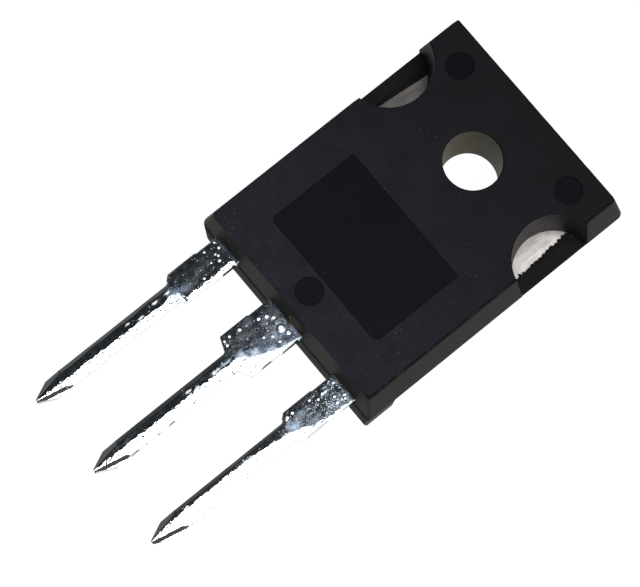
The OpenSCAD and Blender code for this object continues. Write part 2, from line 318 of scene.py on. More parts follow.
def hot_tin(name):
    """Copper lead strip dipped in molten tin.

    A bright, wet-looking coat, bluish in dark surroundings. Where the mesh says "frost", the tin
    set in fine crystals and is dull, so it looks pale whatever it faces. Where it is only somewhat
    dull, its colour is painted a darker bluish grey: a painted reflection of the dark ceiling.
    """
    made, tree, shader, place = new_material(name)
    frost = node(tree, "ShaderNodeAttribute", attribute_name="frost").outputs["Fac"]
    haze = node(tree, "ShaderNodeTexNoise",
                {"Vector": place, "Scale": per(TIN_HAZE), "Detail": 4.0, "Roughness": 0.6})
    fine = node(tree, "ShaderNodeTexNoise",
                {"Vector": place, "Scale": per(TIN_CRYSTALS), "Detail": 3.0})
    polish = node(tree, "ShaderNodeMapRange",
                  {"Value": haze.outputs["Fac"], "From Min": 0.35, "From Max": 0.7,
                   "To Min": 0.06, "To Max": 0.13})
    rough = node(tree, "ShaderNodeMix", {0: frost, 2: polish.outputs[0], 3: 0.5})
    tree.links.new(rough.outputs[0], shader.inputs["Roughness"])
    bright = node(tree, "ShaderNodeMix",
                  {0: haze.outputs["Fac"], 6: srgb("#f2f3f5"), 7: srgb("#dcdee3")},
                  data_type="RGBA")
    # A little frost turns the colour darker and bluish: a painted reflection of the dark ceiling
    painted_blue_share = node(tree, "ShaderNodeMapRange", {"Value": frost, "From Min": 0.0, "From Max": 0.3})
    bluish = node(tree, "ShaderNodeMix",
                  {0: painted_blue_share.outputs[0], 6: bright.outputs[2], 7: srgb("#a2b2c5")},
                  data_type="RGBA")
    crystals = node(tree, "ShaderNodeMapRange", {"Value": frost, "From Min": 0.5, "From Max": 0.9})
    colour = node(tree, "ShaderNodeMix",
                  {0: crystals.outputs[0], 6: bluish.outputs[2], 7: srgb("#f4f1ef")},
                  data_type="RGBA")
    tree.links.new(colour.outputs[2], shader.inputs["Base Color"])
    bump = node(tree, "ShaderNodeBump",
                {"Height": fine.outputs["Fac"], "Strength": 0.35, "Distance": 0.0012 * MM})
    tree.links.new(bump.outputs["Normal"], shader.inputs["Normal"])
    shader.inputs["Metallic"].default_value = 1.0
    return made


def plated_plate(name):
    """Copper header plate, stamped, brushed and plated with dull tin: satin, with draw lines."""
    made, tree, shader, place = new_material(name)
    stretch = node(tree, "ShaderNodeMapping", {"Vector": place, "Scale": (1.0, 0.04, 1.0)})
    lines = node(tree, "ShaderNodeTexNoise",
                 {"Vector": stretch.outputs[0], "Scale": per(DRAW_LINES), "Detail": 4.0})
    blotch = node(tree, "ShaderNodeTexNoise",
                  {"Vector": place, "Scale": per(PLATE_BLOTCHES), "Detail": 4.0})
    rough = node(tree, "ShaderNodeMapRange",
                 {"Value": blotch.outputs["Fac"], "From Min": 0.35, "From Max": 0.7,
                  "To Min": 0.28, "To Max": 0.38})
    tree.links.new(rough.outputs[0], shader.inputs["Roughness"])
    streak = node(tree, "ShaderNodeMath", {0: blotch.outputs["Fac"], 1: lines.outputs["Fac"]},
                  operation="MULTIPLY")
    shade = node(tree, "ShaderNodeMapRange",
                 {"Value": streak.outputs[0], "From Min": 0.15, "From Max": 0.36})
    colour = node(tree, "ShaderNodeMix",
                  {0: shade.outputs[0], 6: srgb("#a29e9c"), 7: srgb("#88837f")}, data_type="RGBA")
    tree.links.new(colour.outputs[2], shader.inputs["Base Color"])
    bump = node(tree, "ShaderNodeBump",
                {"Height": lines.outputs["Fac"], "Strength": 0.6, "Distance": 0.006 * MM})
    tree.links.new(bump.outputs["Normal"], shader.inputs["Normal"])
    shader.inputs["Metallic"].default_value = 1.0
    return made


def drawn_metal(name, light, dark, roughness):
    """Soft metal inside the case, such as bond wire or solder: even, with faint stains."""
    made, tree, shader, place = new_material(name)
    stain = node(tree, "ShaderNodeTexNoise",
                 {"Vector": place, "Scale": per(METAL_STAINS), "Detail": 4.0})
    colour = node(tree, "ShaderNodeMix",
                  {0: stain.outputs["Fac"], 6: srgb(light), 7: srgb(dark)}, data_type="RGBA")
    tree.links.new(colour.outputs[2], shader.inputs["Base Color"])
    rough = node(tree, "ShaderNodeMapRange",
                 {"Value": stain.outputs["Fac"],
                  "To Min": roughness - 0.06, "To Max": roughness + 0.06})
    tree.links.new(rough.outputs[0], shader.inputs["Roughness"])
    shader.inputs["Metallic"].default_value = 1.0
    return made


def polished_silicon(name):
    """Silicon chip, lapped and polished: slate blue, with the fine grid of its cells."""
    made, tree, shader, place = new_material(name)
    cells = node(tree, "ShaderNodeTexChecker",
                 {"Vector": place, "Color1": srgb("#4a5468"), "Color2": srgb("#566074"),
                  "Scale": per(CHIP_CELLS)})
    tree.links.new(cells.outputs["Color"], shader.inputs["Base Color"])
    haze = node(tree, "ShaderNodeTexNoise", {"Vector": place, "Scale": per(CHIP_HAZE)})
    rough = node(tree, "ShaderNodeMapRange",
                 {"Value": haze.outputs["Fac"], "To Min": 0.12, "To Max": 0.22})
    tree.links.new(rough.outputs[0], shader.inputs["Roughness"])
    shader.inputs["Metallic"].default_value = 0.6
    return made


# The moulding's skins: eroded face, coarser walls, polished panel and pin marks, browner bore
# painted lighter (painted light from the floor), right notch, a darker skin of painted shade
# (parting ledge, chipped face edge, notch floors and rims, left notch's wall), rear half of the
# lead end, broken gate, and a thin dark skin on the pads (real flash on the right, painted
# shadow on the left)
FACE = moulded_epoxy("epoxy_moulded_eroded", "#191a1d", "#23242a", roughness=0.55, grain=0.09,
                     relief=0.012, specular=0.05, dust="#383c43", stain="#2c2b35")
WALL = moulded_epoxy("epoxy_moulded_wall", "#1f211e", "#1c1c19", roughness=0.6, grain=0.12,
                     relief=0.008, specular=0.08, dust="#34352f", stain="#2a2724")
SMOOTH = moulded_epoxy("epoxy_moulded_smooth", "#121417", "#17191d", roughness=0.35, grain=0.12,
                       relief=0.004, specular=0.02, dust="#202226")
# Bore: browner, and much lighter than the rest of the moulding: painted light from the floor below
BORE_PAINTED_LIGHT = moulded_epoxy("epoxy_bore_painted_light", "#534e35", "#605a40", roughness=0.5, grain=0.2,
                     relief=0.006, specular=0.04)
NOTCH = moulded_epoxy("epoxy_moulded_notch", "#1f1d1c", "#282623", roughness=0.5, grain=0.3,
                      relief=0.006, specular=0.08)
# Darker skin for places in shade: painted shade on the parting ledge, the chipped face edge, the
# notches' floors and rims, and the left notch's wall
PAINTED_SHADE_SKIN = moulded_epoxy("epoxy_painted_shade", "#151719", "#1b1d1f", roughness=0.5, grain=0.1,
                           relief=0.01, specular=0.05)
REAR_END = moulded_epoxy("epoxy_moulded_rear_end", "#1d1f1c", "#1a1b19", roughness=0.5, grain=0.1,
                         relief=0.01, specular=0.005)
SCAR = moulded_epoxy("epoxy_broken_gate", "#3d3631", "#4f4641", roughness=0.6, grain=0.1,
                     relief=0.03, specular=0.3)
FLASH_AND_SHADOW = moulded_epoxy("epoxy_flash_and_painted_shadow", "#15161a", "#221d1a", roughness=0.5, grain=0.1,
                      relief=0.01, specular=0.03)
BODY_SKINS = [FACE, WALL, PAINTED_SHADE_SKIN, REAR_END]
ON_FACE, ON_WALL, ON_PAINTED_SHADE, ON_REAR_END = range(4)
TIN = hot_tin("tin_hot_dipped")
PLATE = plated_plate("tin_plated_copper")


# Making, cutting and shading meshes


def mesh_object(name, vertices, faces, materials):
    """Object whose mesh is still in millimetres."""
    mesh = bpy.data.meshes.new(name)
    mesh.from_pydata([tuple(v) for v in vertices], [], faces)
    made = bpy.data.objects.new(name, mesh)
    bpy.context.scene.collection.objects.link(made)
    for material in materials:
        mesh.materials.append(material)
    return made


def loft(name, rings, materials, skins=None):
    """Closed skin through rings with equal numbers of points, listed anticlockwise and upwards.

    The caps take the first material. skins numbers the material of each level between two rings.
    """
    count = len(rings[0])
    skins = skins or [0] * (len(rings) - 1)
    vertices = [point for ring in rings for point in ring]
    faces = []
    for level in range(len(rings) - 1):
        low, high = level * count, (level + 1) * count
        for i in range(count):
            j = (i + 1) % count
            faces.append((low + i, low + j, high + j, high + i))
    faces.append(tuple(range(count - 1, -1, -1)))
    last = (len(rings) - 1) * count
    faces.append(tuple(range(last, last + count)))
    made = mesh_object(name, vertices, faces, materials)
    numbers = [number for number in skins for _ in range(count)]
    made.data.polygons.foreach_set("material_index", numbers + [0, 0])
    return made


def turned(name, centre, profile, materials, skins=None, steps=96):
    """Solid of revolution about Z, through (radius, height) pairs listed upwards."""
    rings = [[(centre[0] + r * math.cos(a), centre[1] + r * math.sin(a), z)
              for a in (2 * math.pi * i / steps for i in range(steps))] for r, z in profile]
    return loft(name, rings, materials, skins)


def baked(made):
    """Applies the object's modifiers."""
    evaluated = made.evaluated_get(bpy.context.evaluated_depsgraph_get())
    mesh = bpy.data.meshes.new_from_object(evaluated)
    made.modifiers.clear()
    old, made.data = made.data, mesh
    bpy.data.meshes.remove(old)


def welded(made, distance=0.0005):
    """Joins points that lie on each other."""
    weld = made.modifiers.new("weld", "WELD")
    weld.merge_threshold = distance
    baked(made)
    return made


def boolean(target, tools):
    """Cuts the tools out of the target, and throws the tools away."""
    for tool in tools:
        step = target.modifiers.new(tool.name, "BOOLEAN")
        step.object = tool
        step.operation = "DIFFERENCE"
        step.solver = "EXACT"
        step.material_mode = "TRANSFER"
        baked(target)
        bpy.data.objects.remove(tool)


def finished(made, replaced, sharp=40, weighted=True):
    """Turns a piece to metres, shades it and hangs it on the part's one body.

    sharp: bend in degrees from which an edge stays sharp
    weighted: whether the shading at a point follows its largest faces
    """
    made.data.transform(Matrix.Scale(MM, 4))
    made.data.polygons.foreach_set("use_smooth", [True] * len(made.data.polygons))
    work = bmesh.new()
    work.from_mesh(made.data)
    for edge in work.edges:
        edge.smooth = edge.calc_face_angle(0) < math.radians(sharp)
    work.to_mesh(made.data)
    work.free()
    if weighted:
        even = made.modifiers.new("even", "WEIGHTED_NORMAL")
        even.keep_sharp = True
        even.weight = 50
        baked(made)
    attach(made, "root")
    if replaced:
        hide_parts(*replaced)
    return made


# Moulding


def arc_points(centre, r, start, steps=8):
    """Quarter turn about a centre, anticlockwise from the start angle in degrees."""
    turns = [math.radians(start + 90 * i / steps) for i in range(steps + 1)]
    return [(centre[0] + r * math.cos(a), centre[1] + r * math.sin(a)) for a in turns]


def run_points(start, end, steps):
    """Points between two ends, without the ends."""
    across, along = end[0] - start[0], end[1] - start[1]
    return [(start[0] + across * i / steps, start[1] + along * i / steps) for i in range(1, steps)]


def body_ring(z, side_in, low_in, high_in, corners, heel_in=None, wear=0.0):
    """Ring round the body, anticlockwise, with the heel's own side walls below HEEL_Y."""
    right = HALF_W - side_in
    heel = right if heel_in is None else HALF_W - heel_in
    low, high = END_Y + low_in, TOP_Y - high_in
    lower_r, upper_r, upper_l, lower_l = corners
    ring = arc_points((heel - lower_r, low + lower_r), lower_r, -90)
    ring += run_points(ring[-1], (heel, HEEL_Y), HEEL_STEPS)
    ring += [(heel, HEEL_Y), (right, HEEL_Y)]
    corner = arc_points((right - upper_r, high - upper_r), upper_r, 0)
    ring += run_points(ring[-1], corner[0], SIDE_STEPS) + corner
    corner = arc_points((upper_l - right, high - upper_l), upper_l, 90)
    ring += run_points(ring[-1], corner[0], END_STEPS) + corner
    ring += run_points(ring[-1], (-right, HEEL_Y), SIDE_STEPS)
    ring += [(-right, HEEL_Y), (-heel, HEEL_Y)]
    corner = arc_points((lower_l - heel, low + lower_l), lower_l, 180)
    ring += run_points(ring[-1], corner[0], HEEL_STEPS) + corner
    ring += run_points(ring[-1], ring[0], END_STEPS)
    return [worn(x, y, z, wear) for x, y in ring]


def worn(x, y, z, wear):
    """Point of a ring, moved inwards by up to about the given wear, unevenly."""
    slow = noise.noise(Vector((x * 1.7, y * 1.7, z)))
    fast = noise.noise(Vector((x * 6, y * 6, z + 5)))
    inward = wear * max(0, 0.6 + slow + 0.8 * fast)
    return x * (1 - inward / HALF_W), MID_Y + (y - MID_Y) * (1 - inward / HALF_L), z


def front_inset(z):
    """Inset of the long walls and of the end walls in front of the parting line."""
    rise = z - PARTING_Z
    return rise * math.tan(math.radians(SIDE_DRAFT)), rise * math.tan(math.radians(END_DRAFT))


def body_blank():
    """Outside of the moulding: drafted both ways from the parting line, with the upright heel."""
    rings = []
    for a in reversed(FILLET):
        z = BACK_EDGE_R * (1 - math.sin(a))
        back = BACK_EDGE_R * (1 - math.cos(a))
        drop = PARTING_Z - z
        side_in, heel_in, low_in = (back + drop * math.tan(math.radians(draft))
                                    for draft in (REAR_DRAFT, HEEL_SIDE_DRAFT, HEEL_DRAFT))
        rings.append(body_ring(z, side_in, low_in, side_in, CORNERS, heel_in))
    rings.append(body_ring(PARTING_Z, 0, 0, 0, CORNERS, 0))
    rings.append(body_ring(PARTING_Z + LEDGE_RISE, 0, LEDGE, 0, CORNERS))
    ledge_level = len(rings) - 2
    for step in range(1, 10):
        z = PARTING_Z + LEDGE_RISE + (BODY_T - EDGE_R - PARTING_Z - LEDGE_RISE) * step / 9
        side_in, end_in = front_inset(z)
        share = (z - PARTING_Z) / (BODY_T - PARTING_Z)
        corners = [r + (face_r - r) * share for r, face_r in zip(CORNERS, FACE_CORNERS)]
        rings.append(body_ring(z, side_in, end_in + LEDGE * (1 - share), end_in, corners,
                               wear=WALL_WEAR))
    side_in, end_in = front_inset(BODY_T - EDGE_R)
    for step, a in enumerate(FILLET[1:], start=1):
        back = EDGE_R * (1 - math.cos(a))
        z = BODY_T - EDGE_R + EDGE_R * math.sin(a)
        rings.append(body_ring(z, side_in + back, end_in + back, end_in + back, FACE_CORNERS,
                               wear=WALL_WEAR + (EDGE_WEAR - WALL_WEAR) * step / FILLET_STEPS))
    for inward, depth in ((0.3, 0), (0.6, CHIP_DEPTH), (1, 0)):
        back = EDGE_R + inward * CHIP_W
        ring = body_ring(BODY_T, side_in + back, end_in + back, end_in + back, FACE_CORNERS,
                         wear=EDGE_WEAR)
        rings.append([(x, y, z - depth * chip(x, y)) for x, y, z in ring])
    skins = [ON_WALL] * (len(rings) - 1)
    # The ledge at the parting line takes the darker skin: painted shadow along it
    skins[ledge_level] = ON_PAINTED_SHADE
    made = loft("body_blank", rings, BODY_SKINS, skins)
    # The face's skin goes over its edge too, but not on the right, where the chips are: the deeper
    # chips take the darker skin, painted shade in the groove. The rear half's wall at the lead end
    # has its own.
    for face in made.data.polygons:
        x, y, z = face.center
        if z > BODY_T - CHIP_DEPTH and x < HALF_W - side_in - EDGE_R:
            face.material_index = ON_PAINTED_SHADE if chip(x, y) > 0.1 else ON_FACE
        if z < PARTING_Z and face.normal.y < -0.9:
            face.material_index = ON_REAR_END
    return welded(made)


def chip(x, y):
    """How deeply the face edge is chipped at a place, 0 to 1: on the right only, in stretches."""
    if x < HALF_W - 1:
        return 0
    stretch = 2.2 * noise.noise(Vector((0, y * 0.9, 0)))
    nick = 1.5 * noise.noise(Vector((0, y * 3.5, 2)))
    return min(1, max(0, 0.6 + stretch + nick))


def flared(centre, low_r, low_z, high_r, high_z, edge_r, materials):
    """Round cutter whose mouth flares out over a rounded edge.

    Its floor and its edge take the first material, and its wall the last.
    """
    profile = [(low_r, low_z)]
    slope = (high_r - low_r) / (high_z - low_z)
    for a in FILLET:
        z = high_z - edge_r + edge_r * math.sin(a)
        profile.append((low_r + slope * (z - low_z) + edge_r * (1 - math.cos(a)), z))
    profile.append((profile[-1][0], high_z + 1))
    skins = [len(materials) - 1] + [0] * (len(profile) - 2)
    return turned("cut", centre, profile, materials, skins)


def screw_hole():
    """Cutter for the screw hole, with an edge at each face that rounds from face to bore."""
    profile = [(HOLE_R + HOLE_EDGE_R, -1)]
    for a in reversed(FILLET):
        profile.append((HOLE_R + HOLE_EDGE_R * (1 - math.cos(a)), HOLE_EDGE_R * (1 - math.sin(a))))
    for a in FILLET:
        profile.append((HOLE_R + HOLE_EDGE_R * (1 - math.cos(a)),
                        BODY_T - HOLE_EDGE_R * (1 - math.sin(a))))
    profile.append((HOLE_R + HOLE_EDGE_R, BODY_T + 1))
    # The bore's skin takes its wall and the two nearest steps of each edge
    outer = FILLET_STEPS - 1
    skins = [0] * outer + [1] * 5 + [0] * outer
    return turned("screw_hole", (0, 0), profile, [FACE, BORE_PAINTED_LIGHT], skins)


def face_panel():
    """Cutter for the shallow panel, with round corners and slightly flared sides."""
    low_y = END_Y + PANEL_UP
    rings = []
    for z, grow in ((BODY_T - PANEL_DEPTH, 0), (BODY_T, PANEL_FLARE), (BODY_T + 1, PANEL_FLARE)):
        half_w = PANEL_W / 2 + grow
        low, high = low_y - grow, low_y + PANEL_H + grow
        ring = []
        corners = zip((1, 1, -1, -1), (low, high, high, low), (-90, 0, 90, 180), PANEL_CORNERS)
        for side, end, start, r in corners:
            inward = r if end == low else -r
            middle = (side * (half_w - r), end + inward)
            ring += [(x, y, z) for x, y in arc_points(middle, r, start)]
        rings.append(ring)
    return loft("face_panel", rings, [SMOOTH])


def pin_mark(x, y):
    """Cutter for the round mark that an ejector pin left in the face."""
    return flared((x, y), PIN_MARK_R, BODY_T - PIN_MARK_DEPTH, PIN_MARK_R + PIN_MARK_EDGE_R, BODY_T,
                  PIN_MARK_EDGE_R, [SMOOTH])


def gate_scar():
    """Cutter for the broken sprue's shallow hollow in the end wall."""
    scar_z = (PARTING_Z + BODY_T) / 2
    wall_y = END_Y + front_inset(scar_z)[1]
    profile = [(GATE_SCAR_R * 0.9, -GATE_SCAR_DEPTH), (GATE_SCAR_R, 0), (GATE_SCAR_R * 1.05, 0.3)]
    made = turned("gate_scar", (0, 0), profile, [SCAR], steps=40)
    turn = Matrix.Rotation(math.radians(90 - END_DRAFT), 4, "X")
    made.data.transform(Matrix.Translation((GATE_SCAR_X, wall_y, scar_z)) @ turn)
    return made


def frame_copy(name):
    """Copy of a CAD node's mesh, in millimetres, to be cut out of the moulding."""
    made = bpy.data.objects.new("around_" + name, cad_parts[name].data.copy())
    bpy.context.scene.collection.objects.link(made)
    made.data.transform(Matrix.Scale(1 / MM, 4))
    made.data.materials.clear()
    made.data.materials.append(WALL)
    return welded(made, 0.0001)


def moulded_case():
    """Moulding with its hole, notches, marks and panel, closed round the metal that it holds."""
    made = body_blank()
    made.name = "case_moulding"
    cuts = [screw_hole()]
    for side in (-1, 1):
        # The notches' floors and rims take the darker skin as painted shade. So does the left
        # notch's wall, which faces away from the light; the right one's is lighter
        cuts.append(flared((side * HALF_W, 0), NOTCH_FLOOR_R, NOTCH_FLOOR_Z, NOTCH_R, BODY_T,
                           NOTCH_EDGE_R, [PAINTED_SHADE_SKIN, NOTCH if side > 0 else PAINTED_SHADE_SKIN]))
        cuts.append(pin_mark(side * PIN_MARK_X, TOP_Y - PIN_MARK_TOP))
    cuts += [pin_mark(0, END_Y + PIN_MARK_LOW), face_panel(), gate_scar()]
    cuts += [frame_copy(name) for name in ("drain_frame", "gate_lead", "source_lead")]
    boolean(made, cuts)
    return finished(made, ["moulded_case"], sharp=CASE_SHARP)


def flash_and_shadow_skin(name, side, seed, reach, teeth):
    """Thin dark skin over the edge of the header plate in a notch, reaching in furthest at the
    notch's upper end.

    On the right it is moulding compound that crept over the plate: real flash. On the left it
    lies where the wall shades the pad, deepest at the upper end: painted shadow.
    """
    half_chord = math.sqrt(NOTCH_FLOOR_R ** 2 - (HALF_W - PLATE_HALF_W) ** 2) - 0.03
    outer = PLATE_HALF_W + FLASH_OVERLAP
    rings = []
    for step in range(161):
        y = half_chord * (step / 80 - 1)
        large = abs(noise.noise(Vector((y * 3.1, seed, 0))))
        small = abs(noise.noise(Vector((y * 7, seed, 3))))
        inner = PLATE_HALF_W - reach * step / 160 - teeth * (large + 0.7 * small)
        ring = [(outer, FLASH_LOW_Z), (inner, FLASH_LOW_Z), (inner + FLASH_LIP_W, FLASH_LIP_Z),
                (outer, FLASH_TOP_Z)]
        rings.append([(side * x, y, z) for x, z in ring[::side]])
    return finished(loft(name, rings, [FLASH_AND_SHADOW]), None)


# Leads


def lead_half_widths(y, neck_half, step):
    """Half the lead's width at places along it, with the step that the cut tie bar left."""
    places = [TIP_Y, POINT_Y, SLOPE_Y - SLOPE_R, SLOPE_Y - 0.3 * SLOPE_R, SLOPE_Y, SHOULDER_Y,
              TIE_Y - abs(step), TIE_Y]
    widths = [POINT_HALF_W, SLIM_HALF, SLIM_HALF, SLIM_HALF + 0.3 * SLOPE_R, SLIM_HALF + SLOPE_R,
              neck_half + step, neck_half + step, neck_half]
    return np.interp(y, places, widths)


def soft_over(value, width):
    """Zero below zero and straight above it, with the bend rounded over the given width."""
    return (value + np.sqrt(value * value + width * width)) / 2


def ripple(x, y, size, seed, stretch=1.0):
    """Smooth random heights, -1 to 1, about one rise in each size, longer along the lead."""
    places = zip((x / size + 7.3 * seed).ravel(), (y / (size * stretch)).ravel())
    heights = [noise.noise(Vector((px, py, 0.37 * seed))) for px, py in places]
    return np.array(heights).reshape(x.shape)


def facet_drop(x, y, start, end, side, tilt):
    """Drop of a point's facet outside the ridge line between two places."""
    (x0, y0), (x1, y1) = start, end
    length = math.dist(start, end)
    away = side * ((x - x0) * (y0 - y1) - (y - y0) * (x0 - x1)) / length
    return soft_over(away, 0.02) * math.tan(math.radians(tilt))


def beads(x, y, places):
    """Heights and dullness of round drops of tin: (x, y, radius) each."""
    height = np.zeros_like(x)
    frost = np.zeros_like(x)
    for px, py, r in places:
        near = (np.abs(y - py) < 2 * r) & (np.abs(x - px) < 2 * r)
        away = ((x[near] - px) ** 2 + (y[near] - py) ** 2) / r ** 2
        height[near] = np.maximum(height[near], 3 * r * r * np.exp(-1.5 * away ** 2))
        frost[near] = np.maximum(frost[near], min(1, r / DULL_DROP_R) * np.exp(-0.8 * away ** 2))
    return height, frost


def lead_lines():
    """Places of the rings along a lead, from inside the body to the tip."""
    return np.concatenate([
        np.arange(END_Y + ROOT_IN, END_Y + 0.1, -0.2),
        np.arange(END_Y + 0.1, SLOPE_Y - SLOPE_R, -0.03),
        np.arange(SLOPE_Y - SLOPE_R, POINT_SIDE_Y, -0.04),
        np.linspace(POINT_SIDE_Y, TIP_Y, 60)])


def coat_leans(x, y, left, lit_edge, bevel, seed):
    """Where the coat starts to lean, and how deep its lean, its worn edge and its facets go."""
    edge_x = np.interp(y, lit_edge[0][::-1], lit_edge[1][::-1])
    ragged = 0.06 * ripple(x, y, 0.35, seed) + 0.1 * ripple(x, y, 0.1, seed + 2)
    lean = soft_over(x - edge_x + ragged, 0.03) * math.tan(math.radians(LIT_TILT))
    slim = np.clip((SHOULDER_Y - y) / 0.6, 0, 1)
    bevel_w = 0.1 + (bevel[0] - 0.1) * slim + 0.05 * ripple(x, y, 0.5, seed + 4, 2)
    worn_edge = soft_over(left + bevel_w - x, 0.02) * math.tan(math.radians(bevel[1]))
    near_point = np.clip((POINT_SIDE_Y + 0.4 - y) / 0.3, 0, 1)
    left_facet = facet_drop(x, y, (bevel[0] - SLIM_HALF, POINT_SIDE_Y), (-0.07, TIP_Y), -1,
                            LEFT_FACET_TILT)
    worn_edge = np.maximum(worn_edge * (1 - near_point), left_facet * near_point)
    facets = facet_drop(x, y, (SLIM_HALF - 0.24, POINT_SIDE_Y + 0.2), (-0.05, TIP_Y), 1,
                        RIGHT_FACET_TILT)
    facets = near_point * (facets - soft_over(facets - FACET_DEPTH, 0.01))
    return edge_x, lean, worn_edge, facets


def coat_waves(x, y, edge_x, seed):
    """Heights of the coat's waves and grain, rougher by the body and left of the lit edge."""
    rough = np.clip(1.2 - (END_Y - y) / 4, 0.35, 1)
    dark = np.clip((edge_x - x) / 0.1, 0, 1)
    waves = COAT_WAVE * ripple(x, y, 1.1, seed + 6, 1.8)
    waves += COAT_RIPPLE * ripple(x, y, 0.3, seed + 8, 1.3) * (0.2 + 0.8 * dark)
    waves += COAT_GRAIN * ripple(x, y, 0.11, seed + 10) * (0.1 + dark) * rough
    return waves


def small_drops(count, neck_half, seed):
    """Small drops of tin in seeded random places, most of them by the body: (x, y, radius) each."""
    rng = np.random.RandomState(seed)
    along = END_Y - 0.06 - rng.exponential(SPECK_REACH, count)
    across = rng.uniform(-neck_half, neck_half, count)
    return list(zip(across, along, rng.uniform(*SPECK_R, count)))


def coat_frost(x, y, edge_x, drop_frost, neck_half, dull, patches, seed):
    """How dull the coat is, 0 to 1: on drops, at the root, in clouds by the body, in patches."""
    root = np.exp(-((END_Y - 0.02 - y) / 0.04) ** 2) * (0.3 + np.abs(ripple(x, y, 0.4, seed + 16)))
    swirl = 1 + 1.6 * ripple(x, y, 0.6, seed + 12, 1.8) + 0.5 * x / neck_half
    cloud = dull * (1.3 - 0.25 * (END_Y - y)) * swirl
    border = dull * np.exp(-((x - edge_x) / 0.2) ** 2) * np.clip((y - SLOPE_Y) / 0.5, 0, 1)
    cloud = np.clip(np.maximum(cloud, 2 * border), 0, 1)
    frost = np.maximum(np.maximum(drop_frost, 0.8 * root), 0.45 * cloud)
    torn = 1 + 1.2 * ripple(x, y, 0.16, seed + 18) + 0.6 * ripple(x, y, 0.5, seed + 20)
    for px, py, half_w, half_l, strength in patches:
        away = ((x - px) / half_w) ** 2 + ((y - py) / half_l) ** 2
        sharpness = 2 if half_w < 0.15 else 1
        frost = np.maximum(frost, strength * np.exp(-(away * torn) ** sharpness))
    return np.clip(frost, 0, 1)


def lead_edges(y_lines, neck_half, burrs):
    """Left and right edge of a lead's top, and how far the foot stands out right of it."""
    foot = 0.002 + 0 * y_lines
    for start, end in burrs:
        fade = np.clip(np.minimum(start - y_lines, y_lines - end) / 0.1, 0, 1)
        foot = np.maximum(foot, BURR_W * fade)
    right = lead_half_widths(y_lines, neck_half, -TIE_NIP) - foot
    left = -lead_half_widths(y_lines, neck_half, TIE_STUB)
    return left[:, None], right[:, None], foot[:, None]


def places_across(width):
    """Distances of the top's points from its right edge, closest together at the two rims."""
    rim = np.array([0, 0.2, 0.5, 1.0]) * TIN_EDGE_R
    inner = TIN_EDGE_R + (width - 2 * TIN_EDGE_R) * np.linspace(0, 1, TOP_POINTS)[1:-1]
    near_right = np.repeat(rim[None, :], len(width), axis=0)
    return np.concatenate([near_right, inner, width - near_right[:, ::-1]], axis=1)


def lead(name, centre_x, neck_half, lit_edge, bevel, drops, specks, dull, patches, burrs, seed,
         replaced):
    """Tinned lead: a stamped strip whose coat leans to the right past the lit edge.

    lit_edge: (places along the lead, distances right of its middle) where the coat starts to lean
    bevel: width and tilt of the worn left edge on the slim part
    drops: larger drops of tin (x, y, radius); specks: number of small ones
    dull: how far the coat by the body is dull, 0 to 1
    patches: soft dull patches (x, y, half width, half length, dullness)
    burrs: stretches of the right edge (from, to) with a burr along its foot
    """
    y_lines = lead_lines()
    left, right, foot = lead_edges(y_lines, neck_half, burrs)
    width = right - left
    line = y_lines[:, None]
    outside = np.clip((END_Y + 0.02 - line) / 0.06, 0, 1)
    from_right = places_across(width)
    x = right - from_right
    y = np.repeat(line, x.shape[1], axis=1)
    taper = (LEAD_T / 2 - POINT_HALF_T) * np.clip((POINT_SIDE_Y - y) / (POINT_SIDE_Y - TIP_Y), 0, 1)

    edge_x, lean, worn_edge, facets = coat_leans(x, y, left, lit_edge, bevel, seed)
    waves = coat_waves(x, y, edge_x, seed)
    drop_height, frost = beads(x, y, drops + small_drops(specks, neck_half, seed))
    frost = coat_frost(x, y, edge_x, frost, neck_half, dull, patches, seed)
    relief = waves + drop_height - TIN_SKIN - lean - worn_edge - facets

    rim_drop = TIN_EDGE_R - np.minimum(np.minimum(from_right, width - from_right), TIN_EDGE_R)
    rim_drop = TIN_EDGE_R - np.sqrt(TIN_EDGE_R ** 2 - rim_drop ** 2)
    low = -LEAD_T / 2 + taper
    top = np.clip(LEAD_T / 2 - taper - rim_drop + outside * relief, low + LEAST_T, LEAD_T / 2)

    # Rings: over the top, down the left wall, back along the underside, up the right
    low = low[:, :1]
    under_share = np.linspace(0, 1, UNDER_POINTS)[None, :]
    under_x = left + LEFT_FOOT + (width + foot - LEFT_FOOT - RIGHT_FOOT_W) * under_share
    under_y = np.repeat(line, UNDER_POINTS, axis=1)
    under_z = low + outside * 0.004 * (1 + ripple(under_x, under_y, 0.6, seed + 14))
    shape_x = np.concatenate([x, left, under_x, right + foot, right], axis=1)
    shape_y = np.concatenate([y, line, under_y, line, line], axis=1)
    shape_z = np.concatenate([top, low + LEFT_FOOT, under_z, low + RIGHT_FOOT_H,
                              low + RIGHT_FOOT_H + foot], axis=1)
    shape = np.stack([shape_x + centre_x, shape_y, shape_z + LEAD_LOW + LEAD_T / 2], axis=-1)
    made = loft(name, [list(map(tuple, ring)) for ring in shape], [TIN])
    # The dullness sets the tin's roughness; a little of it also paints the coat bluish grey, a
    # painted reflection
    whole = np.zeros(shape_x.shape)
    whole[:, :x.shape[1]] = frost
    dulled = made.data.attributes.new("frost", "FLOAT", "POINT")
    dulled.data.foreach_set("value", whole.ravel())
    return finished(made, replaced, sharp=LEAD_SHARP, weighted=False)


# Header plate and hidden pieces


